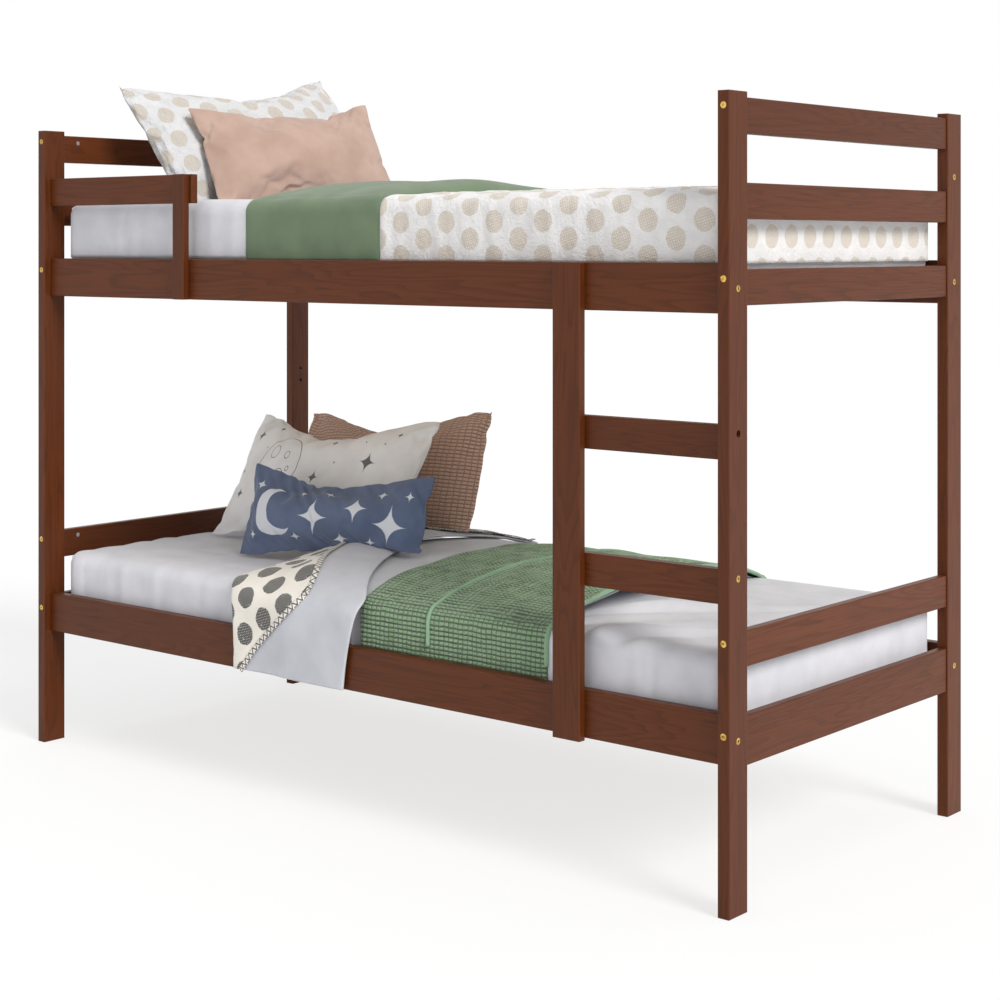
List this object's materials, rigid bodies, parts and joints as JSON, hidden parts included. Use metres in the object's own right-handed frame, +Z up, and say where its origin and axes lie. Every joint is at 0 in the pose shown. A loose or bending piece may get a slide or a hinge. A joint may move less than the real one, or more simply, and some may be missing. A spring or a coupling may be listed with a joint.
{
  "type": "bunk bed with ladder",
  "caption": "Slim wooden bunk bed with two slatted berths, a short guard, a two-rung ladder in the front frame, made-up mattresses and loose pillows.",
  "frame": {"origin": "on the floor under the middle of the bed", "axes": "+X along the bed to the foot end with the ladder, +Y to the back, +Z up"},
  "size_m": [1.966, 0.8801, 1.6204],
  "materials": {
    "stained_pine": "satin red-brown stain on fine-grained pine",
    "bare_birch": "unfinished",
    "bolt_brass": "yellow-passivated, satin",
    "zinc_steel": "bright zinc plate",
    "mattress_ticking": "smooth woven ticking",
    "sheet_cotton": "plain woven cotton",
    "printed_cotton": "crinkled cotton with beige hatched dots",
    "grey_cotton": "plain woven cotton",
    "green_cotton": "stitched and crinkled cotton with piping",
    "peach_linen": "plain linen",
    "rose_waffle": "puckered waffle weave",
    "line_print_cotton": "plain cotton with a thin line print",
    "navy_cotton": "plain cotton with a white line print"
  },
  "bodies": {
    "bed_frame": {"front_left_post": "stained_pine", "front_right_post": "stained_pine", "back_left_post": "stained_pine", "back_right_post": "stained_pine", "upper_front_side_rail": "stained_pine", "upper_back_side_rail": "stained_pine", "lower_front_side_rail": "stained_pine", "lower_back_side_rail": "stained_pine", "head_top_board": "stained_pine", "head_middle_board": "stained_pine", "head_upper_rail": "stained_pine", "head_lower_guard": "stained_pine", "head_lower_rail": "stained_pine", "foot_top_board": "stained_pine", "foot_middle_board": "stained_pine", "foot_upper_rail": "stained_pine", "foot_lower_guard": "stained_pine", "foot_lower_rail": "stained_pine", "ladder_upright": "stained_pine", "upper_rung": "stained_pine", "lower_rung": "stained_pine", "guard_board": "stained_pine", "guard_slat": "stained_pine", "upper_front_ledger": "stained_pine", "upper_back_ledger": "stained_pine", "lower_front_ledger": "stained_pine", "lower_back_ledger": "stained_pine", "upper_slats": "bare_birch", "lower_slats": "bare_birch", "end_bolts": "bolt_brass", "side_rail_bolts": "bolt_brass", "rung_bolts": "bolt_brass", "guard_bolts": "bolt_brass", "end_barrel_nuts": "zinc_steel", "side_barrel_nuts": "zinc_steel", "end_dowels": "bare_birch", "side_dowels": "bare_birch", "ladder_screws": "zinc_steel", "guard_screws": "zinc_steel", "ledger_screws": "zinc_steel", "slat_screws": "zinc_steel"},
    "upper_bedding": {"upper_mattress": "mattress_ticking", "upper_fitted_sheet": "sheet_cotton", "upper_duvet": "printed_cotton"},
    "lower_bedding": {"lower_mattress": "mattress_ticking", "lower_fitted_sheet": "sheet_cotton", "lower_duvet": "grey_cotton", "green_throw": "green_cotton"},
    "dotted_pillow": {"dotted_pillow": "printed_cotton"},
    "peach_cushion": {"peach_cushion": "peach_linen"},
    "waffle_pillow": {"waffle_pillow": "rose_waffle"},
    "moon_pillow": {"moon_pillow": "line_print_cotton"},
    "navy_cushion": {"navy_cushion": "navy_cotton"}
  },
  "joints": [
    {"name": "upper_bedding_lift", "type": "slide", "parent": "bed_frame", "child": "upper_bedding", "axis": [0, 0, 1], "range_m": [0, 0.4]},
    {"name": "lower_bedding_lift", "type": "slide", "parent": "bed_frame", "child": "lower_bedding", "axis": [0, 0, 1], "range_m": [0, 0.12]},
    {"name": "dotted_pillow_lift", "type": "slide", "parent": "upper_bedding", "child": "dotted_pillow", "axis": [0, 0, 1], "range_m": [0, 0.15]},
    {"name": "peach_cushion_lift", "type": "slide", "parent": "dotted_pillow", "child": "peach_cushion", "axis": [0, 0, 1], "range_m": [0, 0.15]},
    {"name": "waffle_pillow_lift", "type": "slide", "parent": "lower_bedding", "child": "waffle_pillow", "axis": [0, 0, 1], "range_m": [0, 0.07]},
    {"name": "moon_pillow_lift", "type": "slide", "parent": "waffle_pillow", "child": "moon_pillow", "axis": [0, 0, 1], "range_m": [0, 0.07]},
    {"name": "navy_cushion_lift", "type": "slide", "parent": "moon_pillow", "child": "navy_cushion", "axis": [0, 0, 1], "range_m": [0, 0.07]}
  ]
}
